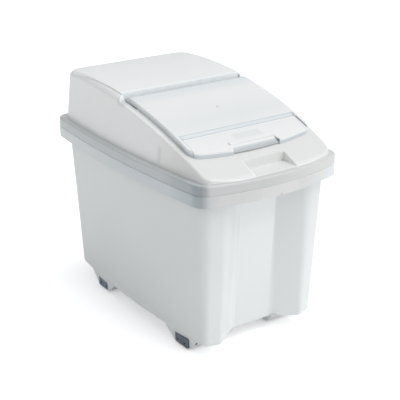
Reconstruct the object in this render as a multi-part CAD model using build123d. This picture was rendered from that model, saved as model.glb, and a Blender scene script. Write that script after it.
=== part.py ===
from build123d import *
from math import asin, atan, cos, degrees, hypot, radians, sin, sqrt, tan
import os

os.makedirs("parts", exist_ok=True)

# overall size, mm; origin on the floor under the middle, front faces -Y
width = 440.0
depth = 704.0
rim_bottom = 407.0
rim_height = 27.5
tub_lip = 19.7
tub_floor = 32.0
hood_height = 134.0

# plan shape of the rim: every side is crowned outward
crown_side = 19.0
crown_front = 33.0
crown_rear = 11.0
corner_r = 38.0

# tub walls and the webs inside the rim
wall = 3.4
wall_inset = 20.8
taper = 0.0552
wall_corner_r = 36.0
rim_wall = 3.0
rim_bevel = 1.2
bottom_r = 13.0
web_wall = 2.4
web_pitch = 115.0
web_pitch_across = 80.0
web_cut = 6.1

# valley down the front of the tub
valley_below_rim = 7.0
valley_half = 52.0
valley_depth = 79.0
valley_spread = 1.5
crease_r = 7.0
brow_r = 34.0

# hood
hood_wall = 2.8
seat_gap = 0.5
hood_inset = 18.0
hood_front_inset = 9.5
hood_draft = 5.6
flange_edge = 2.4
nose_height = 12.5
arc_back = 157.0
plateau_y = 38.0
plateau_inset = 44.0
plateau_back = 52.0
plateau_corner_r = 30.0
step_run = 13.0
shoulder_drop = 3.0
shoulder_r = 17.0
corner_margin = 0.9
deck_r = 6.0
hood_rib = 17.0
hood_rib_pitch = 120.0
hood_rib_pitch_across = 100.0
side_rib_y = -150.0
side_rib_wall = 2.2
side_rib_depth = 5.0

# flap and its hinge
flap_inset = 47.0
flap_thick = 3.0
flap_skirt = 13.5
flap_back = 87.0
flap_front_crown = 18.0
flap_corner_r = 28.0
roll_r = 26.0
roll_start_y = 3.0
roll_end = -10.0
lip_drop = 3.0
lip_length = 78.0
lip_step = 9.0
lip_margin = 8.0
lip_corner_r = 8.0
notch_half = 68.0
notch_depth = 18.0
notch_roll = 2.6
gate_y = -107.0
pin_r = 4.0
pin_head_r = 6.5
pin_head = 3.0
pin_seat = 8.5
ear_wall = 4.5
ear_r = 12.0
boss_r = 8.0
boss_length = 12.0
side_gap = 2.5
deck_gap = 0.5
head_gap = 0.4
running_gap = 0.06
fixed_gap = 0.02

# dispensing opening under the flap
opening_margin = 13.0
opening_ahead = 25.0
opening_rear = -40.0
opening_corner_r = 18.0
curb_wall = 3.0
curb_gap = 4.5

# finger recess in the front slope
recess_half = 60.0
recess_back = 69.0
recess_lift = 1.0
recess_lean = 0.1

# castors
front_castor = 156.0
rear_castor = 176.0
castor_inset = 100.0
wheel_r = 23.0
tyre_depth = 4.0
tyre_edge = 1.5
tyre_width = 26.0
hub_width = 31.4
hub_boss_r = 9.0
hub_lip = 1.5
axle_r = 4.0
axle_length = 45.0
wheel_room = 4.5
side_room = 2.8
slot_gap = 0.8
cheek = 6.0
housing_reach = 46.0
housing_half = 26.0
housing_low = 5.0
housing_top = 29.6
housing_wall = 3.0
housing_corner_r = 2.0
housing_setback = 8.2
plate = 3.6
frame_plate = 5.6
frame_lap = 8.0
dimple_r = 2.6
dimple_depth = 2.0
dimple_reach = 14.0
screw_r = 2.5
screw_reach = 33.0
screw_seat = 20.0
screw_head = 3.2
screw_head_r = 4.6
screw_length = 22.0
screw_half = 6.0

# pods under the tub, one round each castor
pod_top = 40.0
pod_flare = 1.13
pod_lean = 20.0
pod_wall = 3.3
pod_gap = 1.2
pod_side_gap = 0.8
pod_run_in = 42.0
window_gap = 0.3
well_wall = 3.5
well_edge = 4.0
pad_half = 7.0

# what follows from these
reach = 1000.0
root = 50.0
rim_top = rim_bottom + rim_height
tub_top = rim_top + tub_lip
hood_skirt = rim_top + seat_gap
hood_base = tub_top + hood_wall
peak = hood_base + hood_height
valley_top = rim_bottom - valley_below_rim
valley_y_top = valley_depth - depth / 2
hood_shrink = tan(radians(hood_draft))
hood_corner_r = shoulder_r + corner_margin + hood_height * hood_shrink
arc_y = depth / 2 - arc_back
arc_run = arc_y + depth / 2 - hood_front_inset
arc_sag = hood_height - nose_height
arc_r = (arc_run**2 + arc_sag**2) / (2 * arc_sag)
deck_drop = flap_skirt + deck_gap
plateau_half = width / 2 - plateau_inset
plateau_end = depth / 2 - plateau_back
flap_half = width / 2 - flap_inset
flap_front = flap_back - depth / 2
trough_half = flap_half + side_gap
lip_y = flap_front + lip_length
lip_half = flap_half - lip_margin
opening_half = flap_half - opening_margin
opening_front = flap_front + opening_ahead
recess_y = recess_back - depth / 2
front_castor_y = front_castor - depth / 2
rear_castor_y = depth / 2 - rear_castor
wheel_x = width / 2 - castor_inset
housing_in = wheel_x - housing_reach
wheel_half = wheel_r + wheel_room
screw_xs = (wheel_x - screw_reach, wheel_x + screw_reach)
castor_spots = [(-1, front_castor_y), (1, front_castor_y), (-1, rear_castor_y), (1, rear_castor_y)]


def plan(inset, z, low_front=0.0, radius=None):
    half = width / 2 - inset
    front = -depth / 2 + inset - low_front
    rear = depth / 2 - inset
    xc = half - crown_side
    yf = front + crown_front
    yr = rear - crown_rear
    ym = (yf + yr) / 2
    lines = [
        ThreePointArc((-xc, yf), (0, front), (xc, yf)),
        ThreePointArc((xc, yf), (half, ym), (xc, yr)),
        ThreePointArc((xc, yr), (0, rear), (-xc, yr)),
        ThreePointArc((-xc, yr), (-half, ym), (-xc, yf)),
    ]
    face = make_face(lines)
    r = radius if radius else max(corner_r - inset * 0.5, 12)
    return Pos(0, 0, z) * fillet(face.vertices(), r)


def tub_inset(z):
    return wall_inset + (rim_bottom - z) * taper


# tub section with the valley cut in, at the valley's top; grow is the wall thickness for the inside
def valley_plan(z, grow):
    rise = (valley_top - z) * taper + grow
    base = plan(tub_inset(z) + grow, 0, radius=wall_corner_r - rise)
    yv = valley_y_top + rise
    half = valley_half + rise * (hypot(1, valley_spread) - valley_spread)
    far = yv - width / 4
    out = half + valley_spread * (yv - far)
    cut = make_face(Polyline((-half, yv), (half, yv), (out, far), (-out, far), (-half, yv)))
    face = (base - cut).faces()[0]
    creases = [v for v in face.vertices() if abs(v.Y - yv) < 0.01 and abs(abs(v.X) - half) < 0.01]
    face = fillet(creases, crease_r + rise)
    flanks = face.vertices().filter_by(lambda v: abs(abs(v.X) - half - valley_spread * (yv - v.Y)) < 0.05)
    face = fillet(flanks.sort_by(lambda v: abs(v.X))[-2:], brow_r - rise)
    return Pos(0, 0, z) * face


def mirrored(solid):
    return mirror(solid, Plane.YZ)


def side(solid, sign):
    return solid if sign > 0 else mirrored(solid)


# everything above z
def above(z):
    return Pos(0, 0, z + reach / 2) * Box(reach, 2 * reach, reach)


# everything below z
def below(z):
    return Pos(0, 0, z - reach / 2) * Box(reach, 2 * reach, reach)


# section at z drawn down or up with the draft of the walls
def drafted(face, length, angle):
    sense = 1 if length > 0 else -1
    spare = 8.0
    body = extrude(face, abs(length) + spare, dir=(0, 0, sense), taper=angle)
    end = face.center().Z + length
    body -= above(end) if sense > 0 else below(end)
    half = body & (Pos(reach / 2, 0, 0) * Box(reach, 2 * reach, 2 * reach))
    return half + mirrored(half)


def sideways(sketch, x0, x1):
    # a YZ sketch drawn as (y, z) pushed out along X
    placed = Plane(origin=(x0, 0, 0), x_dir=(0, 1, 0), z_dir=(1, 0, 0)) * sketch
    return extrude(placed, x1 - x0)


# evenly pitched places across a span, none closer to its ends than margin
def pitched(span, pitch, margin, offset=0.0):
    count = int(span / pitch) + 1
    places = [(i + offset) * pitch for i in range(-count, count)]
    return [p for p in places if abs(p) < span / 2 - margin]


# tub: lower part with the valley, upper part plain, then rim band
def tub_form(grow, top):
    draft = degrees(atan(taper))
    z0 = tub_floor + grow
    z1 = valley_top + grow
    lower = drafted(valley_plan(z1, grow), z0 - z1, draft)
    low_edges = lower.faces().sort_by(Axis.Z)[0].edges()
    lower = chamfer(low_edges, bottom_r * 0.55) if grow > 0 else fillet(low_edges, bottom_r)
    inset = tub_inset(z1) + grow
    corner = wall_corner_r - grow
    upper = drafted(plan(inset, z1, radius=corner), top - z1, -draft)
    return lower + upper


def rim_band():
    skirt_top = rim_top - wall
    shelf = extrude(plan(0, skirt_top), wall)
    skirt = extrude(plan(0, rim_bottom), skirt_top - rim_bottom)
    skirt -= extrude(plan(rim_wall, rim_bottom), skirt_top - rim_bottom)
    band = shelf + skirt
    edges = band.edges().filter_by(lambda e: abs(e.center().Z - rim_top) < 0.01)
    band = chamfer(edges, rim_bevel)
    web_height = skirt_top - rim_bottom - web_cut
    webs = [Pos(0, y) * Box(reach, web_wall, web_height) for y in pitched(depth, web_pitch, 100)]
    webs += [Pos(x, 0) * Box(web_wall, reach, web_height) for x in pitched(width, web_pitch_across, 90, 0.5)]
    z = skirt_top - web_height
    ring = extrude(plan(1.0, z), web_height) - extrude(plan(wall_inset + 1.5, z), web_height)
    for web in webs:
        band += (Pos(0, 0, z + web_height / 2) * web) & ring
    notch = Pos(0, -depth / 2, rim_bottom) * Box(8, 20, 7)
    return band - notch - extrude(plan(wall_inset + 1.0, rim_bottom - 5), rim_height + 10)


# wedge that carries a castor: flares up into the tub's floor, front and rear
def wedge(yc, grow, z0, x_in, x_out):
    half = housing_half + pod_gap + pod_wall - grow
    run = (pod_top - z0) * pod_flare
    corner = (yc - half, z0)
    far = yc + half + run
    sect = make_face(Polyline(corner, (yc + half, z0), (far, pod_top), (2 * yc - far, pod_top), corner))
    body = sideways(sect, x_in - 20, x_out)
    lean = Pos(x_in, yc, z0) * Rot(0, -pod_lean, 0) * Pos(-reach / 2, 0, 0) * Box(reach, reach, reach)
    return body - lean


def pod(yc):
    return wedge(yc, 0, housing_low + 1.2, housing_in - 3, width / 2 - 30)


def pod_space(yc):
    body = wedge(yc, pod_wall, housing_low - 1, housing_in - pod_side_gap, wheel_x + pod_run_in)
    return body - above(tub_floor)


def build_tub():
    outer = tub_form(0, tub_top)
    skin = loft([plan(tub_inset(0) + 1, 0), plan(tub_inset(60) + 1, 60)], ruled=True)
    for sign, yc in castor_spots:
        outer += side(pod(yc), sign) & skin
    body = outer - tub_form(wall, tub_top + 5)
    body += rim_band()
    wheel_top = 2 * wheel_r + wheel_room
    hole_half = hub_width / 2 + side_room
    bore_z = (screw_seat + screw_length + housing_top) / 2
    bore_length = screw_seat + screw_length - housing_top + 0.2
    for sign, yc in castor_spots:
        body -= side(pod_space(yc), sign)
        body -= side(Pos(width / 2 - 45, yc) * window_box(), sign)
        well_half = hole_half + well_wall
        well = box_between(well_half, wheel_half + well_wall, tub_floor + 0.1, wheel_top + well_wall)
        well = chamfer(well.edges().group_by(Axis.Z)[-1] + well.edges().filter_by(Axis.Z), well_edge)
        saddle = box_between(screw_reach + pad_half, pad_half, tub_floor + 1, screw_seat + screw_length + 3)
        saddle = chamfer(saddle.edges().group_by(Axis.Z)[-1], 2)
        pad = box_between(screw_reach + pad_half, pad_half, housing_top, tub_floor + 1)
        body += side(Pos(wheel_x, yc) * (well + saddle + pad), sign)
        body -= side(Pos(wheel_x, yc) * box_between(hole_half, wheel_half, 0, wheel_top), sign)
        for x in screw_xs:
            body -= side(Pos(x, yc, bore_z) * Cylinder(screw_r + fixed_gap, bore_length), sign)
    return body


# way out for the housing's outer end
def window_box():
    return Box(30, 2 * (housing_half + window_gap), 2 * (housing_top + window_gap))


# box centred on the axis, from its half sizes and its lowest and highest z
def box_between(x_half, y_half, z0, z1):
    return Pos(0, 0, (z0 + z1) / 2) * Box(2 * x_half, 2 * y_half, z1 - z0)


def housing(sign, yc):
    outer_x = width / 2 - tub_inset(screw_seat) - housing_setback
    slot = hub_width / 2 + slot_gap
    mid = (housing_in + outer_x) / 2
    half = (outer_x - housing_in) / 2
    walls = Pos(mid, yc) * box_between(half, housing_half, housing_low, housing_top)
    walls = fillet(walls.edges().filter_by(Axis.Z), housing_corner_r)
    inner = (housing_in + housing_wall, wheel_x - slot - cheek)
    outer = (wheel_x + slot + cheek, outer_x - plate)
    for x0, x1 in (inner, outer):
        cavity = box_between((x1 - x0) / 2, housing_half - housing_wall, housing_low, housing_top - plate)
        walls -= Pos((x0 + x1) / 2, yc) * cavity
    frame_half = housing_half + frame_lap
    frame = box_between(slot + cheek, frame_half, housing_top - frame_plate, housing_top)
    body = walls + Pos(wheel_x, yc) * frame
    for x in screw_xs:
        body += Pos(x, yc) * box_between(screw_half, housing_half - 1, screw_seat, housing_top)
    body -= Pos(wheel_x, yc) * box_between(slot, wheel_half, 0, housing_top + 1)
    for x in screw_xs:
        body -= Pos(x, yc, screw_seat) * Cylinder(screw_r + fixed_gap + 0.2, 2 * screw_length)
    body -= Pos(wheel_x, yc, wheel_r) * Rot(0, 90, 0) * Cylinder(axle_r + fixed_gap, axle_length + 15)
    for dy in (-dimple_reach, dimple_reach):
        body -= Pos(outer_x, yc + dy, 14.5) * Rot(0, 90, 0) * Cylinder(dimple_r, 2 * dimple_depth)
    return side(body, sign)


def axle(sign, yc):
    return side(Pos(wheel_x, yc, wheel_r) * Rot(0, 90, 0) * Cylinder(axle_r, axle_length), sign)


# half profile of the wheel, as (radius, place along the axle), turned about the axle
def turned(points, sign, yc):
    ring = revolve(Plane.XZ * make_face(Polyline(*points, points[0])), Axis.Z)
    return side(Pos(wheel_x, yc, wheel_r) * Rot(0, 90, 0) * ring, sign)


def hub(sign, yc):
    core_r = wheel_r - tyre_depth
    half = hub_width / 2
    groove = tyre_width / 2
    bore = axle_r + running_gap
    flank = [(bore, -half), (hub_boss_r, -half), (core_r + hub_lip, -groove), (core_r, -groove)]
    return turned(flank + [(r, -h) for r, h in reversed(flank)], sign, yc)


def tyre(sign, yc):
    core_r = wheel_r - tyre_depth
    half = tyre_width / 2
    flank = [(core_r, -half), (wheel_r - tyre_edge, -half), (wheel_r, tyre_edge - half)]
    return turned(flank + [(r, -h) for r, h in reversed(flank)], sign, yc)


# hexagon-headed screws driven up through the housings into the tub
def screws():
    shank = Pos(0, 0, screw_seat + screw_length / 2) * Cylinder(screw_r, screw_length)
    head = Pos(0, 0, screw_seat - screw_head) * extrude(RegularPolygon(screw_head_r, 6), screw_head)
    screw = shank + head
    return Compound(children=[side(Pos(x, yc) * screw, sign) for sign, yc in castor_spots for x in screw_xs])


# solid under the arched top; drop lowers it
def under_arc(drop):
    return Pos(0, arc_y, peak - arc_r) * Rot(0, 90, 0) * Cylinder(arc_r - drop, reach)


def arc_z(y, drop=0.0):
    return peak - arc_r + sqrt((arc_r - drop) ** 2 - (y - arc_y) ** 2)


# pivot of the flap: centre of the roll that meets the arch smoothly
roll_dy = roll_start_y - arc_y
roll_dz = arc_z(roll_start_y) - (peak - arc_r)
pivot_y = roll_start_y - roll_r * roll_dy / arc_r
pivot_z = arc_z(roll_start_y) - roll_r * roll_dz / arc_r
roll_from = 180 - degrees(asin(roll_dz / arc_r))
trough_r = plateau_y - pivot_y


def hood_walls(inset, top=peak + 12):
    low = hood_base - root
    lean = root * hood_shrink
    front_step = hood_inset - hood_front_inset
    corner = hood_corner_r + lean - inset
    base = plan(hood_inset - lean + inset, low, low_front=front_step, radius=corner)
    return drafted(base, top - low, hood_draft)


def hood_form(grow):
    body = hood_walls(grow)
    y0 = plateau_y - step_run + grow
    y1 = plateau_y + grow
    y2 = plateau_end - grow
    low = hood_skirt - root
    high = peak + root
    foot = (y0, low)
    step = ((y0, arc_z(y0, deck_drop)), (y1, arc_z(plateau_y)), (y1, high), (reach, high), (reach, low))
    rear_zone = sideways(make_face(Polyline(foot, *step, foot)), -width, width)
    front_cut = plateau_y + 22
    rear_cut = plateau_y - 98
    front_half = Pos(0, front_cut - reach / 2, peak) * Box(reach, reach, reach)
    back_half = Pos(0, rear_cut + reach / 2, peak) * Box(reach, reach, reach)
    deck = soften_top(body & under_arc(deck_drop + grow) & front_half, deck_r, front_cut, grow)
    block = soften_top(body & under_arc(shoulder_drop + grow) & back_half, shoulder_r, rear_cut, grow)
    form = (deck - rear_zone) + (block & rear_zone)
    pad = Pos(0, (y1 + y2) / 2, peak - 40) * Box(2 * (plateau_half - grow), y2 - y1, 90)
    pad = fillet(pad.edges().filter_by(Axis.Z).group_by(Axis.Y)[-1], plateau_corner_r)
    form += pad & under_arc(grow)
    return form - below(hood_base - 4)


# round outside; inside a chamfer of about the same depth
def soften_top(solid, r, cut_y, grow):
    top = solid.faces().filter_by(GeomType.CYLINDER).sort_by(SortBy.AREA)[-1]
    edges = [e for e in top.edges() if abs(e.center().Y - cut_y) > 0.1]
    return chamfer(edges, r * 0.55) if grow > 0 else fillet(edges, r)


def trough(grow):
    r = trough_r + grow
    half = trough_half + grow
    round_part = Pos(pivot_y, pivot_z) * Circle(r)
    tall = Pos(pivot_y, pivot_z + 60) * Rectangle(2 * r, 120)
    return sideways(round_part + tall, -half, half)


def opening(grow):
    y0 = opening_front - grow
    y1 = opening_rear + grow
    half = opening_half + grow
    sketch = Pos(0, (y0 + y1) / 2) * RectangleRounded(2 * half, y1 - y0, opening_corner_r + grow)
    return Pos(0, 0, hood_base - hood_rib) * extrude(sketch, reach)


def finger_recess(grow):
    y1 = recess_y + grow
    y0 = -depth / 2 - 20
    z0 = hood_base + recess_lift - grow
    z1 = z0 + 40
    foot = (y1 - recess_lean * 40, z0)
    sect = make_face(Polyline(foot, (y1, z1), (y1, peak + root), (y0, peak + root), (y0, z0), foot))
    return sideways(sect, -recess_half - grow, recess_half + grow)


def hood_ribs():
    low = tub_top - hood_rib
    grip = tub_inset(low) - 0.6
    ring = extrude(plan(1.5, low), hood_rib + 0.5) - extrude(plan(grip - 2.4, low), hood_rib + 0.5)
    along = pitched(depth, hood_rib_pitch, 90)
    across = pitched(width, hood_rib_pitch_across, 90)
    ribs = [Pos(0, y) * box_between(reach, web_wall / 2, low, tub_top) for y in along]
    ribs += [Pos(x, 0) * box_between(web_wall / 2, reach, low, tub_top) for x in across]
    return [rib & ring for rib in ribs]


def build_hood():
    outer = hood_form(0)
    flange = extrude(plan(0.4, hood_skirt), hood_base - hood_skirt)
    flange = chamfer(flange.faces().sort_by(Axis.Z)[-1].edges(), flange_edge)
    body = outer + flange
    body -= trough(0)
    body -= finger_recess(0)
    inside = hood_form(hood_wall)
    throat_low = hood_skirt - 5
    inside += extrude(plan(hood_inset + hood_wall + 0.6, throat_low), hood_base + 1 - throat_low)
    inside -= trough(hood_wall)
    inside -= finger_recess(hood_wall)
    body -= inside
    body -= extrude(plan(hood_wall, hood_skirt - 1), tub_top - hood_skirt + 1)
    curb = opening(curb_wall) & under_arc(flap_thick + curb_gap)
    body += curb - under_arc(deck_drop + 1)
    body -= opening(0)
    for rib in hood_ribs():
        body += rib
    rib_top = arc_z(side_rib_y, deck_drop + hood_wall + side_rib_depth)
    side_rib = Pos(0, side_rib_y) * box_between(width / 2, side_rib_wall / 2, hood_base + 2, rib_top)
    body += side_rib & (hood_walls(1.0, peak) - hood_walls(hood_wall + side_rib_depth, peak))
    for sign in (-1, 1):
        x0 = trough_half - 2
        boss = Pos(x0 + boss_length / 2, pivot_y, pivot_z) * Rot(0, 90, 0) * Cylinder(boss_r, boss_length)
        body += side(boss, sign)
        bore_mid = x0 + pin_seat / 2
        bore = Pos(bore_mid, pivot_y, pivot_z) * Rot(0, 90, 0) * Cylinder(pin_r + fixed_gap, pin_seat + 2)
        body -= side(bore, sign)
    return body


def hinge_pin(sign):
    x0 = flap_half - ear_wall - head_gap
    head = Pos(x0 - pin_head / 2, 0, 0) * Rot(0, 90, 0) * Cylinder(pin_head_r, pin_head)
    x1 = trough_half - 2 + pin_seat
    shaft = Pos((x0 + x1) / 2, 0, 0) * Rot(0, 90, 0) * Cylinder(pin_r, x1 - x0)
    return side(Pos(0, pivot_y, pivot_z) * (head + shaft), sign)


def flap_outline(grow):
    half = flap_half - grow
    y_end = flap_front + flap_front_crown + grow
    y_mid = flap_front + grow
    lines = [
        ThreePointArc((-half, y_end), (0, y_mid), (half, y_end)),
        Line((half, y_end), (half, roll_start_y)),
        Line((half, roll_start_y), (-half, roll_start_y)),
        Line((-half, roll_start_y), (-half, y_end)),
    ]
    face = make_face(lines)
    fronts = [v for v in face.vertices() if v.Y < roll_start_y - 10]
    face = fillet(fronts, flap_corner_r - grow)
    return Pos(0, 0, hood_base - root) * face


# sunk front part of the flap; grow pulls it in under the step so the plate keeps its thickness
def lip_zone(grow):
    half = lip_half + grow * 0.6
    y1 = lip_y + grow * 0.3 - lip_step
    y0 = flap_front - 30
    zone = Pos(0, (y0 + y1) / 2, peak) * Box(2 * half, y1 - y0, 6 * root)
    return fillet(zone.edges().filter_by(Axis.Z).group_by(Axis.Y)[-1], lip_corner_r)


def build_flap():
    prism = extrude(flap_outline(0), 5 * root)
    body = prism & (under_arc(0) - under_arc(flap_skirt))
    body -= extrude(flap_outline(flap_thick), 5 * root) & under_arc(flap_thick)
    body += (prism & lip_zone(3)) & (under_arc(lip_drop) - under_arc(lip_drop + flap_thick))
    body -= lip_zone(0) - under_arc(lip_drop)
    y0 = lip_y - lip_step - 0.5
    foot = (y0, arc_z(y0, lip_drop))
    head = arc_z(lip_y)
    ramp = make_face(Polyline(foot, (lip_y, head), (lip_y, head + 9), (y0, head + 9), foot))
    body -= sideways(ramp, -lip_half, lip_half)
    low_edge = (Align.CENTER, Align.MIN)
    notch_sect = Trapezoid(2 * notch_half + 6, notch_depth + 10, 74, align=low_edge)
    notch = Pos(0, flap_front - 10, hood_base - root) * extrude(notch_sect, 5 * root)
    notch_y = flap_front + notch_depth
    ridge_zone = Pos(0, notch_y + 3.5, peak) * Box(2 * notch_half - 4, 7, 6 * root)
    body += ridge_zone & (under_arc(lip_drop - notch_roll) - under_arc(lip_drop + 1))
    body -= notch
    roll = (Pos(pivot_y, pivot_z) * Circle(roll_r)) - (Pos(pivot_y, pivot_z) * Circle(roll_r - flap_thick))
    fan = [point_at(a, 2.5 * roll_r) for a in (roll_from + 1, 60, 20, roll_end)]
    roll_sector = Pos(pivot_y, pivot_z) * make_face(Polyline((0, 0), *fan, (0, 0)))
    body += sideways(roll & roll_sector, -flap_half, flap_half)
    ear_disc = Pos(pivot_y, pivot_z) * Circle(ear_r)
    ear_fan = (Pos(pivot_y, pivot_z) * Circle(roll_r - 1)) & roll_sector
    ear = sideways(ear_disc + ear_fan, flap_half - ear_wall, flap_half)
    body += ear + mirrored(ear)
    body -= Pos(0, pivot_y, pivot_z) * Rot(0, 90, 0) * Cylinder(pin_r + running_gap, width)
    return body + Pos(0, gate_y, arc_z(gate_y)) * Cylinder(2.5, 1.0)


def point_at(angle, r):
    return (r * cos(radians(angle)), r * sin(radians(angle)))


names = ["front_left", "front_right", "rear_left", "rear_right"]

export_step(build_tub(), "parts/tub.step")
export_step(build_hood(), "parts/hood.step")
export_step(build_flap(), "parts/flap.step")
for name, (sign, yc) in zip(names, castor_spots):
    export_step(housing(sign, yc), f"parts/housing_{name}.step")
    export_step(axle(sign, yc), f"parts/axle_{name}.step")
    export_step(hub(sign, yc), f"parts/hub_{name}.step")
    export_step(tyre(sign, yc), f"parts/tyre_{name}.step")
export_step(hinge_pin(-1), "parts/hinge_pin_left.step")
export_step(hinge_pin(1), "parts/hinge_pin_right.step")
export_step(screws(), "parts/housing_screws.step")
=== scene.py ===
import math
import bmesh
import bpy
from mathutils import Euler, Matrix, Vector


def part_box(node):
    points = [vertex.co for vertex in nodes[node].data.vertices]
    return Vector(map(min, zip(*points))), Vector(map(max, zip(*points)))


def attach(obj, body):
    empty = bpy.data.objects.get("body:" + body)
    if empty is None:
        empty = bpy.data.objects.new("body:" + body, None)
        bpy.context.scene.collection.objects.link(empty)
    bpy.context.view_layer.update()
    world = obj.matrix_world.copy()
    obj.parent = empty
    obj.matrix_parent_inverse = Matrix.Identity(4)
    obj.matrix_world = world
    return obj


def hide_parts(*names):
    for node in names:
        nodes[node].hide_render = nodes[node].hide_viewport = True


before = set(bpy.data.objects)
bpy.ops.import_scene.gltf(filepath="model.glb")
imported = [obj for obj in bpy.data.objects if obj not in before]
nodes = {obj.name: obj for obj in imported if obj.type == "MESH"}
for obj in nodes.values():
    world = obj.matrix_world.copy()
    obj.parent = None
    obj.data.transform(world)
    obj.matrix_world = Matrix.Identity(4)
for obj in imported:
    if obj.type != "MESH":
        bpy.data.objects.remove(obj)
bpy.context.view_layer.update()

print("ingredient bin: frame loaded,", len(nodes), "nodes")


def addNode(tree, kind, **settings):
    made = tree.nodes.new(kind)
    for key, value in settings.items():
        setattr(made, key, value)
    return made


# node tree with its named sockets, and its start and end nodes
def newTree(name, kind, inputs, outputs):
    tree = bpy.data.node_groups.new(name, kind)
    for label, socketKind, value in inputs:
        made = tree.interface.new_socket(label, in_out="INPUT", socket_type="NodeSocket" + socketKind)
        if value is not None:
            made.default_value = value
    for label, socketKind in outputs:
        tree.interface.new_socket(label, in_out="OUTPUT", socket_type="NodeSocket" + socketKind)
    return tree, addNode(tree, "NodeGroupInput"), addNode(tree, "NodeGroupOutput")


# a number or a colour is set on the socket, and a node's output is linked to it
def feed(tree, socket, value):
    if isinstance(value, (int, float, tuple)):
        socket.default_value = value
    else:
        tree.links.new(value, socket)


# the same for a node's inputs by their names, where _ stands for a space
def feedByName(tree, made, **values):
    for name, value in values.items():
        feed(tree, made.inputs[name.replace("_", " ")], value)


def mathNode(tree, operation, first, second=None, clamp=False):
    made = addNode(tree, "ShaderNodeMath", operation=operation, use_clamp=clamp)
    feed(tree, made.inputs[0], first)
    if second is not None:
        feed(tree, made.inputs[1], second)
    return made.outputs[0]


def vectorNode(tree, operation, first, second):
    made = addNode(tree, "ShaderNodeVectorMath", operation=operation)
    feed(tree, made.inputs[0], first)
    feed(tree, made.inputs[1], second)
    return made.outputs[0]


def noise(tree, coords, scale, detail):
    made = addNode(tree, "ShaderNodeTexNoise")
    feedByName(tree, made, Vector=coords, Scale=scale, Detail=detail)
    return made.outputs[0]


# goes from 0 to 1 while the value goes from low to high
def ramp(tree, value, low, high):
    made = addNode(tree, "ShaderNodeMapRange")
    feedByName(tree, made, Value=value, From_Min=low, From_Max=high)
    return made.outputs[0]


# which sockets of a Mix node are its two colours and its mixed colour
mixSockets = {"first": 6, "second": 7, "mixed": 2}


def mixColour(tree, factor, first, second, blend="MIX"):
    made = addNode(tree, "ShaderNodeMix", data_type="RGBA", blend_type=blend)
    feed(tree, made.inputs["Factor"], factor)
    feed(tree, made.inputs[mixSockets["first"]], first)
    feed(tree, made.inputs[mixSockets["second"]], second)
    return made.outputs[mixSockets["mixed"]]


# moulded skin: a fine grain over slow ripples, as a height
def makeMouldedSkin():
    tree, start, end = newTree(
        "mouldedSkin", "ShaderNodeTree",
        [("Vector", "Vector", None), ("Grain Scale", "Float", 900.0), ("Grain", "Float", 0.12),
         ("Ripple Scale", "Float", 14.0), ("Ripple", "Float", 0.5)],
        [("Height", "Float")],
    )
    given = start.outputs
    grain = noise(tree, given["Vector"], given["Grain Scale"], detail=3.0)
    ripple = noise(tree, given["Vector"], given["Ripple Scale"], detail=1.0)
    slow = mathNode(tree, "MULTIPLY", ripple, given["Ripple"])
    fine = mathNode(tree, "MULTIPLY", grain, given["Grain"])
    tree.links.new(mathNode(tree, "ADD", slow, fine), end.inputs["Height"])
    return tree


# handling: thin scuffs along one slant and a slow drift, both in the roughness
def makeHandling():
    tree, start, end = newTree(
        "handling", "ShaderNodeTree",
        [("Vector", "Vector", None), ("Scale", "Float", 18.0), ("Roughness", "Float", 0.4),
         ("Wear", "Float", 0.15), ("Drift", "Float", 0.12)],
        [("Roughness", "Float")],
    )
    given = start.outputs
    slant = addNode(tree, "ShaderNodeMapping")
    feedByName(tree, slant, Vector=given["Vector"], Rotation=(0.5, 0.9, 0.4), Scale=(1.0, 9.0, 9.0))
    streaks = noise(tree, slant.outputs["Vector"], given["Scale"], detail=5.0)
    clouds = noise(tree, given["Vector"], scale=7.0, detail=2.0)
    # only the peaks of the streaks become scuffs
    scuffs = mathNode(tree, "MULTIPLY", ramp(tree, streaks, low=0.60, high=0.72), clouds)
    wear = mathNode(tree, "MULTIPLY", scuffs, given["Wear"])
    # the clouds go about 0.5, so the drift goes both ways
    drift = mathNode(tree, "MULTIPLY", mathNode(tree, "SUBTRACT", clouds, 0.5), given["Drift"])
    worn = mathNode(tree, "ADD", given["Roughness"], wear)
    tree.links.new(mathNode(tree, "ADD", worn, drift, clamp=True), end.inputs["Roughness"])
    return tree


# cloudy tone between two colours, as in thick moulded resin
def makeResinTone():
    tree, start, end = newTree(
        "resinTone", "ShaderNodeTree",
        [("Vector", "Vector", None), ("Scale", "Float", 3.0),
         ("Light", "Color", (0.9, 0.9, 0.9, 1.0)), ("Dark", "Color", (0.8, 0.8, 0.8, 1.0))],
        [("Color", "Color")],
    )
    given = start.outputs
    clouds = noise(tree, given["Vector"], given["Scale"], detail=2.0)
    spread = ramp(tree, clouds, low=0.3, high=0.7)
    tree.links.new(mixColour(tree, spread, given["Dark"], given["Light"]), end.inputs["Color"])
    return tree


# soft-edged box in the bin's own coordinates, as a mask that is one half at the box's faces
def makeZoneMask():
    tree, start, end = newTree(
        "zoneMask", "ShaderNodeTree",
        [("Vector", "Vector", None), ("Low", "Vector", (-1.0, -1.0, -1.0)),
         ("High", "Vector", (1.0, 1.0, 1.0)), ("Soft", "Vector", (0.002, 0.002, 0.002))],
        [("Mask", "Float")],
    )
    given = start.outputs
    pastLow = vectorNode(tree, "SUBTRACT", given["Vector"], given["Low"])
    beforeHigh = vectorNode(tree, "SUBTRACT", given["High"], given["Vector"])
    gaps = [vectorNode(tree, "DIVIDE", gap, given["Soft"]) for gap in (pastLow, beforeHigh)]
    axes = addNode(tree, "ShaderNodeSeparateXYZ")
    tree.links.new(vectorNode(tree, "MINIMUM", *gaps), axes.inputs[0])
    least = mathNode(tree, "MINIMUM", axes.outputs["X"], axes.outputs["Y"])
    least = mathNode(tree, "MINIMUM", least, axes.outputs["Z"])
    tree.links.new(mathNode(tree, "ADD", least, 0.5, clamp=True), end.inputs["Mask"])
    return tree


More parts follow.
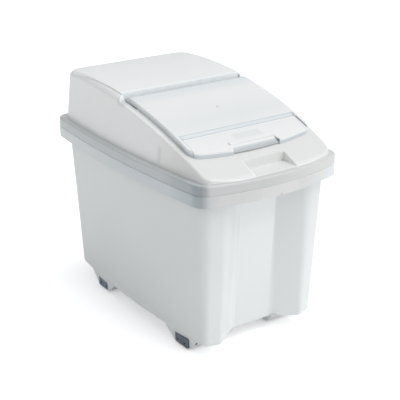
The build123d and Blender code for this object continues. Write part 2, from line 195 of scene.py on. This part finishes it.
# the arched top that the hood and the flap share, round a line along X
arch = {"middleY": 0.195, "middleZ": -0.65866, "radius": 1.24966}


# how deep a point lies under the arched top, in metres
def makeArchDepth():
    tree, start, end = newTree(
        "archDepth", "ShaderNodeTree",
        [("Vector", "Vector", None), ("Middle Y", "Float", arch["middleY"]),
         ("Middle Z", "Float", arch["middleZ"]), ("Radius", "Float", arch["radius"])],
        [("Depth", "Float")],
    )
    given = start.outputs
    axes = addNode(tree, "ShaderNodeSeparateXYZ")
    tree.links.new(given["Vector"], axes.inputs[0])
    across = mathNode(tree, "SUBTRACT", axes.outputs["Y"], given["Middle Y"])
    up = mathNode(tree, "SUBTRACT", axes.outputs["Z"], given["Middle Z"])
    acrossSquared = mathNode(tree, "MULTIPLY", across, across)
    upSquared = mathNode(tree, "MULTIPLY", up, up)
    distance = mathNode(tree, "SQRT", mathNode(tree, "ADD", acrossSquared, upSquared))
    tree.links.new(mathNode(tree, "SUBTRACT", given["Radius"], distance), end.inputs["Depth"])
    return tree


mouldedSkin = makeMouldedSkin()
handling = makeHandling()
resinTone = makeResinTone()
zoneMask = makeZoneMask()
archDepth = makeArchDepth()


def placeGroup(tree, group, coords, **values):
    made = addNode(tree, "ShaderNodeGroup", node_tree=group)
    feedByName(tree, made, Vector=coords, **values)
    return made


# a zone's range along an axis is its low end, its high end and its soft edge's width, in metres
far = 1.0  # past the bin on every side
anywhere = (-far, far, 0.01)


# tint for one zone of a piece; with a depth pair it also fades in between these depths under the arch
def zone(tint, x=anywhere, y=anywhere, z=anywhere, depth=None):
    low, high, soft = zip(x, y, z)
    return {"tint": tint, "low": low, "high": high, "soft": soft, "depth": depth}


# multiplies the colour by each zone's tint in turn
def tintZones(tree, coords, colour, zones):
    for place in zones:
        box = placeGroup(tree, zoneMask, coords, Low=place["low"], High=place["high"], Soft=place["soft"])
        mask = box.outputs["Mask"]
        if place["depth"]:
            under = placeGroup(tree, archDepth, coords).outputs["Depth"]
            mask = mathNode(tree, "MULTIPLY", mask, ramp(tree, under, *place["depth"]))
        colour = mixColour(tree, mask, colour, (*place["tint"], 1.0), blend="MULTIPLY")
    return colour


# one moulded resin material from its settings
def mouldedMaterial(name, look):
    made = bpy.data.materials.new(name)
    made.use_nodes = True
    tree = made.node_tree
    coords = addNode(tree, "ShaderNodeTexCoord").outputs["Object"]
    tone = placeGroup(
        tree, resinTone, coords,
        Scale=look["toneScale"], Light=(*look["light"], 1.0), Dark=(*look["dark"], 1.0),
    )
    # the zones mostly paint light and shade into the colour
    colour = tintZones(tree, coords, tone.outputs["Color"], look.get("zones", []))
    worn = placeGroup(
        tree, handling, coords,
        Scale=look["scuffScale"], Roughness=look["roughness"], Wear=look["wear"],
    )
    skin = placeGroup(
        tree, mouldedSkin, coords,
        Grain_Scale=look["grainScale"], Ripple_Scale=look["rippleScale"], Ripple=look["ripple"],
    )
    bump = addNode(tree, "ShaderNodeBump")
    height = skin.outputs["Height"]
    feedByName(tree, bump, Strength=look["bump"], Distance=look["bumpDistance"], Height=height)
    feedByName(
        tree, tree.nodes["Principled BSDF"],
        Base_Color=colour, Roughness=worn.outputs["Roughness"], Normal=bump.outputs["Normal"],
        **look.get("shader", {}),
    )
    return made


def giveMaterial(made, *names):
    for name in names:
        mesh = nodes[name].data
        mesh.materials.clear()
        mesh.materials.append(made)


# tub: opaque white polypropylene, its rim painted a little darker as shade
rim = (0.4065, far, 0.002)  # from just under the rim up
tubLook = {
    "light": (0.645, 0.66, 0.662), "dark": (0.62, 0.636, 0.642), "toneScale": 2.5,
    "roughness": 0.36, "wear": 0.12, "scuffScale": 16.0,
    "grainScale": 1100.0, "rippleScale": 9.0, "ripple": 1.0, "bump": 0.22, "bumpDistance": 0.0012,
    "shader": {"IOR": 1.49, "Subsurface Weight": 0.12, "Subsurface Radius": (0.006, 0.006, 0.006)},
    "zones": [
        # painted shade: the rim, then its left side, darker towards the front
        zone((0.95, 0.965, 0.975), z=rim),
        zone((0.88, 0.90, 0.915), x=(-far, -0.17, 0.03), y=(-far, 0.15, 0.4), z=rim),
        # painted shade on its front left corner, and along the sharper edge there
        zone((0.78, 0.81, 0.83), x=(-far, -0.190, 0.012), y=(-far, -0.26, 0.10), z=rim),
        zone((0.86, 0.88, 0.89), x=(-0.206, -0.184, 0.008), y=(-far, -0.30, 0.03), z=rim),
        # painted shade on its front
        zone((0.89, 0.86, 0.835), x=(-0.22, 0.12, 0.10), y=(-far, -0.30, 0.02), z=rim),
        # the valley: a painted highlight along its left crease, and painted light on its floor, lightest in
        # the upper half
        zone((1.05, 1.045, 1.04), x=(-0.082, -0.0535, 0.005), y=(-far, -0.2, 0.01), z=(0.03, 0.395, 0.004)),
        zone((1.10, 1.09, 1.08), x=(-0.052, 0.052, 0.002), y=(-far, -0.2, 0.01), z=(0.20, 0.395, 0.20)),
    ],
}
giveMaterial(mouldedMaterial("tubResin", tubLook), "tub")

# hood: natural polypropylene, milky and a little see-through; the flange over the tub's lip is painted
# darker, as the shade of the gap behind it
flange = (0.43, 0.4572, 0.0015)  # from below the flange to its top face
recess = (0.4585, far, 0.003)  # from the floor of the finger recess up
hoodLook = {
    "light": (0.825, 0.83, 0.825), "dark": (0.80, 0.81, 0.808), "toneScale": 3.0,
    "roughness": 0.34, "wear": 0.14, "scuffScale": 20.0,
    "grainScale": 900.0, "rippleScale": 10.0, "ripple": 1.0, "bump": 0.2, "bumpDistance": 0.001,
    "shader": {
        "IOR": 1.49, "Transmission Weight": 0.10,
        "Subsurface Weight": 0.2, "Subsurface Radius": (0.01, 0.01, 0.01),
    },
    "zones": [
        # painted shade on the flange, then more on its left and right sides
        zone((0.70, 0.715, 0.72), z=flange),
        zone((0.90, 0.915, 0.93), x=(-far, -0.197, 0.02), z=flange),
        zone((0.90, 0.915, 0.93), x=(0.197, far, 0.02), z=flange),
        # painted shade on its front left corner, and along the sharper edge there
        zone((0.72, 0.75, 0.77), x=(-far, -0.188, 0.014), y=(-far, -0.24, 0.12), z=flange),
        zone((0.78, 0.79, 0.80), x=(-0.206, -0.182, 0.008), y=(-far, -0.30, 0.03), z=flange),
        # painted shade on its front, and painted light towards the right
        zone((0.935, 0.925, 0.915), x=(-0.186, 0.19, 0.014), y=(-far, -0.30, 0.02), z=flange),
        zone((1.12, 1.11, 1.10), x=(0.05, far, 0.14), y=(-far, -0.26, 0.02), z=flange),
        # painted shade where the inner side rib shows through
        zone((0.88, 0.885, 0.89), y=(-0.157, -0.145, 0.006), z=(0.462, 0.502, 0.01)),
        # painted light in the flap's trough, and painted shade at the left end of it
        zone((1.05, 1.075, 1.09), x=(-0.18, 0.18, 0.01), y=(0.0, 0.046, 0.008), z=(0.5, far, 0.01)),
        zone((0.80, 0.81, 0.82), x=(-0.198, -0.176, 0.004), y=(0.004, 0.032, 0.012), z=(0.560, far, 0.012)),
        # painted shade on the front of the deck, then painted light on the right and the left edge of its
        # finger recess
        zone((0.87, 0.865, 0.855), y=(-far, -0.19, 0.12), z=(0.46, far, 0.01)),
        zone((1.30, 1.30, 1.29), x=(0.0575, 0.0602, 0.0006), y=(-far, -0.284, 0.006), z=recess),
        zone((1.22, 1.215, 1.20), x=(-0.0620, -0.0596, 0.0010), y=(-0.344, -0.284, 0.006), z=recess),
    ],
}
giveMaterial(mouldedMaterial("hoodResin", hoodLook), "hood")

# flap: clear resin gone milky, with bluish painted shade on its skirts and along its hinge roll
skirtDepths = (0.0052, 0.0075)  # under the arch, as for the shelf
shelfDepths = (0.004, 0.009)
flapLook = {
    "light": (0.84, 0.843, 0.84), "dark": (0.81, 0.817, 0.817), "toneScale": 2.0,
    "roughness": 0.24, "wear": 0.05, "scuffScale": 26.0,
    "grainScale": 500.0, "rippleScale": 8.0, "ripple": 1.0, "bump": 0.12, "bumpDistance": 0.0008,
    "shader": {"IOR": 1.52, "Transmission Weight": 0.14},
    "zones": [
        # painted shade along the hinge, and on the plate towards the lip
        zone((0.90, 0.935, 0.955), y=(-0.022, far, 0.04)),
        zone((0.935, 0.945, 0.955), y=(-0.187, -0.11, 0.10)),
        # painted shade on the ramp down to the lip, a painted dark line at its foot, a painted highlight in
        # front, a painted dark line at its top
        zone((0.79, 0.825, 0.85), x=(-0.166, 0.166, 0.003), y=(-0.1968, -0.1868, 0.0012)),
        zone((0.70, 0.75, 0.78), x=(-0.166, 0.166, 0.003), y=(-0.1976, -0.1958, 0.0008)),
        zone((1.06, 1.06, 1.06), x=(-0.163, 0.163, 0.003), y=(-0.2012, -0.1986, 0.0010)),
        zone((0.72, 0.76, 0.79), x=(-0.165, 0.165, 0.003), y=(-0.1882, -0.1866, 0.0008)),
        # painted dark lines on the lip's left and right edges
        zone((0.62, 0.67, 0.71), x=(-0.1660, -0.1643, 0.0008), y=(-0.250, -0.19, 0.02)),
        zone((0.62, 0.67, 0.71), x=(0.1643, 0.1660, 0.0008), y=(-0.250, -0.19, 0.02)),
        # the middle of the lip, and the gate mark on the plate
        zone((0.93, 0.935, 0.94), x=(-0.04, 0.04, 0.004), y=(-0.232, -0.212, 0.003)),
        zone((0.78, 0.79, 0.80), x=(-0.003, 0.003, 0.002), y=(-0.1100, -0.1040, 0.002)),
        # painted shade on the front skirt, the shelf under the notch, and the side skirts
        zone((0.70, 0.75, 0.79), y=(-far, -0.195, 0.02), depth=skirtDepths),
        zone((0.70, 0.685, 0.675), x=(-0.066, 0.066, 0.002), y=(-far, -0.2472, 0.006), depth=shelfDepths),
        zone((0.86, 0.89, 0.91), y=(-0.195, 0.0, 0.02), depth=skirtDepths),
    ],
}
flapResin = mouldedMaterial("flapResin", flapLook)
giveMaterial(flapResin, "flap")

# hinge pins, castor housings, hubs and tyres
pinLook = {
    "light": (0.84, 0.85, 0.86), "dark": (0.80, 0.81, 0.82), "toneScale": 40.0,
    "roughness": 0.4, "wear": 0.15, "scuffScale": 60.0,
    "grainScale": 1400.0, "rippleScale": 60.0, "ripple": 0.4, "bump": 0.2, "bumpDistance": 0.0004,
}
giveMaterial(mouldedMaterial("pinResin", pinLook), "hinge_pin_left", "hinge_pin_right")

# painted shade in the dimples of the housings, two on each along Y
dimpleShadeSet = {
    "y": (-0.210, -0.182, 0.162, 0.190), "z": 0.0145, "radius": 0.0027, "soft": 0.0012,
    "tint": (0.30, 0.30, 0.30),
}


def dimpleShadeZone(y):
    z, radius, soft = (dimpleShadeSet[key] for key in ("z", "radius", "soft"))
    return zone(dimpleShadeSet["tint"], y=(y - radius, y + radius, soft), z=(z - radius, z + radius, soft))


corners = ["front_left", "front_right", "rear_left", "rear_right"]
housingLook = {
    "light": (0.13, 0.155, 0.18), "dark": (0.085, 0.105, 0.125), "toneScale": 45.0,
    "roughness": 0.52, "wear": 0.25, "scuffScale": 60.0,
    "grainScale": 2200.0, "rippleScale": 80.0, "ripple": 0.5, "bump": 0.5, "bumpDistance": 0.0006,
    "zones": [
        # painted light on the rear pair, as if they caught more sky, and painted shade in the dimples
        zone((1.45, 1.60, 1.72), y=(0.0, far, 0.01)),
        *[dimpleShadeZone(y) for y in dimpleShadeSet["y"]],
    ],
}
giveMaterial(mouldedMaterial("housingNylon", housingLook), *["housing_" + corner for corner in corners])

hubLook = {
    "light": (0.42, 0.44, 0.46), "dark": (0.36, 0.38, 0.40), "toneScale": 60.0,
    "roughness": 0.45, "wear": 0.25, "scuffScale": 80.0,
    "grainScale": 1800.0, "rippleScale": 90.0, "ripple": 0.4, "bump": 0.3, "bumpDistance": 0.0004,
}
hubNylon = mouldedMaterial("hubNylon", hubLook)
giveMaterial(hubNylon, *["hub_" + corner for corner in corners])

tyreLook = {
    "light": (0.10, 0.105, 0.11), "dark": (0.06, 0.062, 0.066), "toneScale": 70.0,
    "roughness": 0.68, "wear": 0.2, "scuffScale": 70.0,
    "grainScale": 1500.0, "rippleScale": 120.0, "ripple": 0.6, "bump": 0.6, "bumpDistance": 0.0006,
}
giveMaterial(mouldedMaterial("tyreRubber", tyreLook), *["tyre_" + corner for corner in corners])

# axles and screws: zinc plated steel
steelLook = {
    "light": (0.66, 0.67, 0.68), "dark": (0.55, 0.56, 0.57), "toneScale": 120.0,
    "roughness": 0.3, "wear": 0.3, "scuffScale": 120.0,
    "grainScale": 2600.0, "rippleScale": 200.0, "ripple": 0.4, "bump": 0.25, "bumpDistance": 0.0003,
    "shader": {"Metallic": 1.0},
}
steel = mouldedMaterial("platedSteel", steelLook)
giveMaterial(steel, *["axle_" + corner for corner in corners])
print("ingredient bin: resin, rubber and steel finishes placed")


def addObject(name, data):
    made = bpy.data.objects.new(name, data)
    bpy.context.scene.collection.objects.link(made)
    return made


# piece from its points and faces, with the faces turned outward
def newPiece(name, points, faces):
    mesh = bpy.data.meshes.new(name)
    mesh.from_pydata(points, [], faces)
    shell = bmesh.new()
    shell.from_mesh(mesh)
    bmesh.ops.recalc_face_normals(shell, faces=shell.faces)
    shell.to_mesh(mesh)
    shell.free()
    return addObject(name, mesh)


# runs a node tree on a piece with these inputs, and leaves a plain mesh
def applyTree(piece, tree, values):
    modifier = piece.modifiers.new(tree.name, "NODES")
    modifier.node_group = tree
    for item in tree.interface.items_tree:
        if item.item_type == "SOCKET" and item.in_out == "INPUT" and item.name in values:
            modifier[item.identifier] = values[item.name]
    ready = piece.evaluated_get(bpy.context.evaluated_depsgraph_get())
    mesh = bpy.data.meshes.new_from_object(ready)
    piece.modifiers.clear()
    piece.data = mesh
    mesh.name = piece.name
    return piece


# puts instances on points, and ends the tree in plain geometry with its material
def endOnPoints(tree, end, material, **sources):
    place = addNode(tree, "GeometryNodeInstanceOnPoints")
    feedByName(tree, place, **sources)
    real = addNode(tree, "GeometryNodeRealizeInstances")
    tree.links.new(place.outputs[0], real.inputs[0])
    finish = addNode(tree, "GeometryNodeSetMaterial")
    feedByName(tree, finish, Geometry=real.outputs[0], Material=material)
    tree.links.new(finish.outputs[0], end.inputs[0])


# castor screws: x is taken on both sides, and seat is the height of the face that the heads press on
screwSet = {
    "x": (0.087, 0.153), "y": (-0.196, 0.176), "seat": 0.020,
    "sides": {"washer": 24, "hexagon": 6, "shank": 12},
    "sizes": {
        "Washer Radius": 0.006, "Washer Height": 0.0008, "Hexagon Radius": 0.0046, "Head Height": 0.0032,
        "Chamfer": 0.0006, "Shank Radius": 0.0025, "Shank Length": 0.022,
    },
}


# screw on each point: washer face, hexagon and chamfer below it, and the shank going up from it
def makeScrews():
    sizes = [(label, "Float", size) for label, size in screwSet["sizes"].items()]
    tree, start, end = newTree(
        "screwHeads", "GeometryNodeTree",
        [("Geometry", "Geometry", None), *sizes, ("Material", "Material", None)],
        [("Geometry", "Geometry")],
    )
    given = start.outputs
    join = addNode(tree, "GeometryNodeJoinGeometry")

    # a drum or cone that starts at this depth below the seat and goes up by its length
    def drum(kind, lowRadius, highRadius, length, below):
        made = addNode(tree, "GeometryNodeMeshCone")
        feedByName(tree, made, Vertices=screwSet["sides"][kind], Depth=length)
        feedByName(tree, made, Radius_Bottom=lowRadius, Radius_Top=highRadius)
        lift = addNode(tree, "ShaderNodeCombineXYZ")
        feedByName(tree, lift, Z=mathNode(tree, "MULTIPLY", below, -1.0))
        moved = addNode(tree, "GeometryNodeTransform")
        feedByName(tree, moved, Geometry=made.outputs["Mesh"], Translation=lift.outputs[0])
        tree.links.new(moved.outputs[0], join.inputs[0])

    washer, hexagon, shank = (given[part + " Radius"] for part in ("Washer", "Hexagon", "Shank"))
    face, head, chamfer = given["Washer Height"], given["Head Height"], given["Chamfer"]
    straight = mathNode(tree, "SUBTRACT", mathNode(tree, "SUBTRACT", head, face), chamfer)
    narrowed = mathNode(tree, "SUBTRACT", hexagon, chamfer)
    drum("washer", washer, washer, face, below=face)
    drum("hexagon", hexagon, hexagon, straight, below=mathNode(tree, "ADD", face, straight))
    drum("hexagon", narrowed, hexagon, chamfer, below=head)
    drum("shank", shank, shank, given["Shank Length"], below=0.0)
    endOnPoints(tree, end, given["Material"], Points=given["Geometry"], Instance=join.outputs[0])
    return tree


screwPoints = [
    (side * x, y, screwSet["seat"])
    for side in (-1, 1) for x in screwSet["x"] for y in screwSet["y"]
]
screwValues = {**screwSet["sizes"], "Material": steel}
castorScrews = applyTree(newPiece("castorScrews", screwPoints, []), makeScrews(), screwValues)
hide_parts("housing_screws")
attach(castorScrews, "tub")
print("ingredient bin: castor screws driven,", len(castorScrews.data.polygons), "faces")


# shelf under the flap's notch: the skirt goes on across it, sloping out from the lip's cut edge
# its section is in (y, depth under the arch), from the rear edge forward and back again below
notchSet = {
    "half": 0.0634, "flare": 0.0048, "stations": 24, "crown": 0.6, "rear": -0.2462, "front": -0.2622,
    "section": (
        (-0.2462, 0.0042), (-0.2475, 0.0056), (-0.2612, 0.0104), (-0.2622, 0.0112),
        (-0.2622, 0.0132), (-0.2600, 0.0132), (-0.2440, 0.0078),
    ),
}


# the section carried along X in equal steps, wider and more crowned towards the front
def notchShelf():
    section, stations = notchSet["section"], notchSet["stations"]
    points = []
    for station in range(stations + 1):
        share = 2 * station / stations - 1
        for y, depth in section:
            forward = max(0.0, (notchSet["rear"] - y) / (notchSet["rear"] - notchSet["front"]))
            x = share * (notchSet["half"] + notchSet["flare"] * forward)
            crowned = y + notchSet["crown"] * x * x * forward
            rise = math.sqrt(arch["radius"] ** 2 - (crowned - arch["middleY"]) ** 2)
            points.append((x, crowned, arch["middleZ"] + rise - depth))
    size = len(section)
    last = stations * size
    faces = [tuple(range(size))]
    for first in range(0, last, size):
        for corner in range(size):
            here, following = first + corner, first + (corner + 1) % size
            faces.append((here, here + size, following + size, following))
    faces.append(tuple(range(last + size - 1, last - 1, -1)))
    return points, faces


notchSkirt = newPiece("notchSkirt", *notchShelf())
notchSkirt.data.materials.append(flapResin)
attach(notchSkirt, "flap")
print("ingredient bin: notch shelf set")

# ribs on both faces of each wheel: radii are from the axle, faces and root from the hub's middle
ribSet = {
    "count": 6, "startAngle": 0.26, "innerRadius": 0.0085, "outerRadius": 0.0198, "thickness": 0.0018,
    "innerFace": 0.0156, "outerFace": 0.0146, "root": 0.0120,
}


# copies of one rib about an axle along X, the first half on one face of the wheel and the rest on the other
def makeWheelRibs():
    tree, start, end = newTree(
        "wheelRibs", "GeometryNodeTree",
        [("Geometry", "Geometry", None), ("Count", "Int", 6), ("Start Angle", "Float", 0.0),
         ("Axle", "Vector", None), ("Material", "Material", None)],
        [("Geometry", "Geometry")],
    )
    given = start.outputs
    count = given["Count"]
    points = addNode(tree, "GeometryNodePoints")
    feedByName(tree, points, Count=mathNode(tree, "MULTIPLY", count, 2.0), Position=given["Axle"])
    index = addNode(tree, "GeometryNodeInputIndex").outputs[0]
    step = mathNode(tree, "DIVIDE", 2 * math.pi, count)
    turn = mathNode(tree, "ADD", mathNode(tree, "MULTIPLY", index, step), given["Start Angle"])
    # half a step short of the count, so the numbers compared are never equal
    secondHalf = mathNode(tree, "GREATER_THAN", index, mathNode(tree, "SUBTRACT", count, 0.5))
    angles = addNode(tree, "ShaderNodeCombineXYZ")
    feedByName(tree, angles, X=turn, Z=mathNode(tree, "MULTIPLY", secondHalf, math.pi))
    endOnPoints(
        tree, end, given["Material"],
        Points=points.outputs[0], Instance=given["Geometry"], Rotation=angles.outputs[0],
    )
    return tree


# one rib as a wedge along Z, proud of the wheel's coned face
def ribWedge():
    half = ribSet["thickness"] / 2
    inner, outer, root = ribSet["innerRadius"], ribSet["outerRadius"], ribSet["root"]
    outline = [(root, inner), (ribSet["innerFace"], inner), (ribSet["outerFace"], outer), (root, outer)]
    points = [(x, side * half, z) for side in (-1, 1) for x, z in outline]
    faces = [(0, 1, 2, 3), (7, 6, 5, 4), (0, 4, 5, 1), (1, 5, 6, 2), (2, 6, 7, 3), (3, 7, 4, 0)]
    return points, faces


wheelRibs = makeWheelRibs()
for corner in corners:
    low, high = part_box("hub_" + corner)
    middle = [(lowEnd + highEnd) / 2 for lowEnd, highEnd in zip(low, high)]
    ribs = newPiece("hubRibs_" + corner, *ribWedge())
    ribValues = {"Count": ribSet["count"], "Start Angle": ribSet["startAngle"]}
    applyTree(ribs, wheelRibs, {**ribValues, "Axle": middle, "Material": hubNylon})
    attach(ribs, "wheel_" + corner)
print("ingredient bin: wheel ribs set")


# turns a lamp or camera to look down by the elevation and round by the azimuth, in degrees
def aim(made, elevation, azimuth):
    made.rotation_euler = Euler((math.radians(90 - elevation), 0, math.radians(azimuth)))


# studio: white sweep, soft suns and a pale surround
studio = {
    "floorSize": 24.0, "floorTone": 0.93, "floorRoughness": 0.9, "floorGlow": 0.10, "floorLift": 0.28,
    "surround": (0.97, 0.988, 1.0), "surroundStrength": 0.62,
    "suns": {
        "key": {"energy": 1.65, "elevation": 63.0, "azimuth": 42.0, "angle": 55.0},
        "fill": {"energy": 1.05, "elevation": 6.0, "azimuth": 32.0, "angle": 50.0},
    },
}


def buildFloor():
    half = studio["floorSize"] / 2
    outline = [(-half, -half, 0), (half, -half, 0), (half, half, 0), (-half, half, 0)]
    mesh = bpy.data.meshes.new("studioFloor")
    mesh.from_pydata(outline, [], [(0, 1, 2, 3)])
    floor = addObject("studioFloor", mesh)
    paper = bpy.data.materials.new("studioPaper")
    paper.use_nodes = True
    tree = paper.node_tree
    # the lift is for the lens only, so the paper doesn't flood the bin from below
    seen = addNode(tree, "ShaderNodeLightPath").outputs["Is Camera Ray"]
    lifted = mathNode(tree, "MULTIPLY", seen, studio["floorLift"])
    glow = mathNode(tree, "ADD", lifted, studio["floorGlow"])
    tone = studio["floorTone"]
    feedByName(
        tree, tree.nodes["Principled BSDF"],
        Base_Color=(tone, tone, tone, 1.0), Roughness=studio["floorRoughness"],
        Emission_Color=(1.0, 1.0, 1.0, 1.0), Emission_Strength=glow,
    )
    mesh.materials.append(paper)


def buildLight():
    world = bpy.data.worlds.new("studioSurround")
    world.use_nodes = True
    tree = world.node_tree
    colour = (*studio["surround"], 1.0)
    feedByName(tree, tree.nodes["Background"], Color=colour, Strength=studio["surroundStrength"])
    bpy.context.scene.world = world
    for name, light in studio["suns"].items():
        sun = bpy.data.lights.new(name + "Sun", "SUN")
        sun.energy = light["energy"]
        sun.angle = math.radians(light["angle"])
        aim(addObject(name + "Sun", sun), light["elevation"], light["azimuth"])


buildFloor()
buildLight()

# camera fitted to the photograph, its place in metres and its lens and sensor in millimetres
view = {
    "azimuth": -35.44, "elevation": 21.94, "place": (-1.3034, -1.8679, 1.1965),
    "lens": 85.97, "sensor": 36.0,
}


def buildCamera():
    data = bpy.data.cameras.new("photoCamera")
    data.lens = view["lens"]
    data.sensor_width = view["sensor"]
    camera = addObject("photoCamera", data)
    camera.location = Vector(view["place"])
    aim(camera, view["elevation"], view["azimuth"])
    bpy.context.scene.camera = camera


buildCamera()
bpy.context.scene.view_settings.view_transform = "Standard"
print("ingredient bin: studio and camera ready")
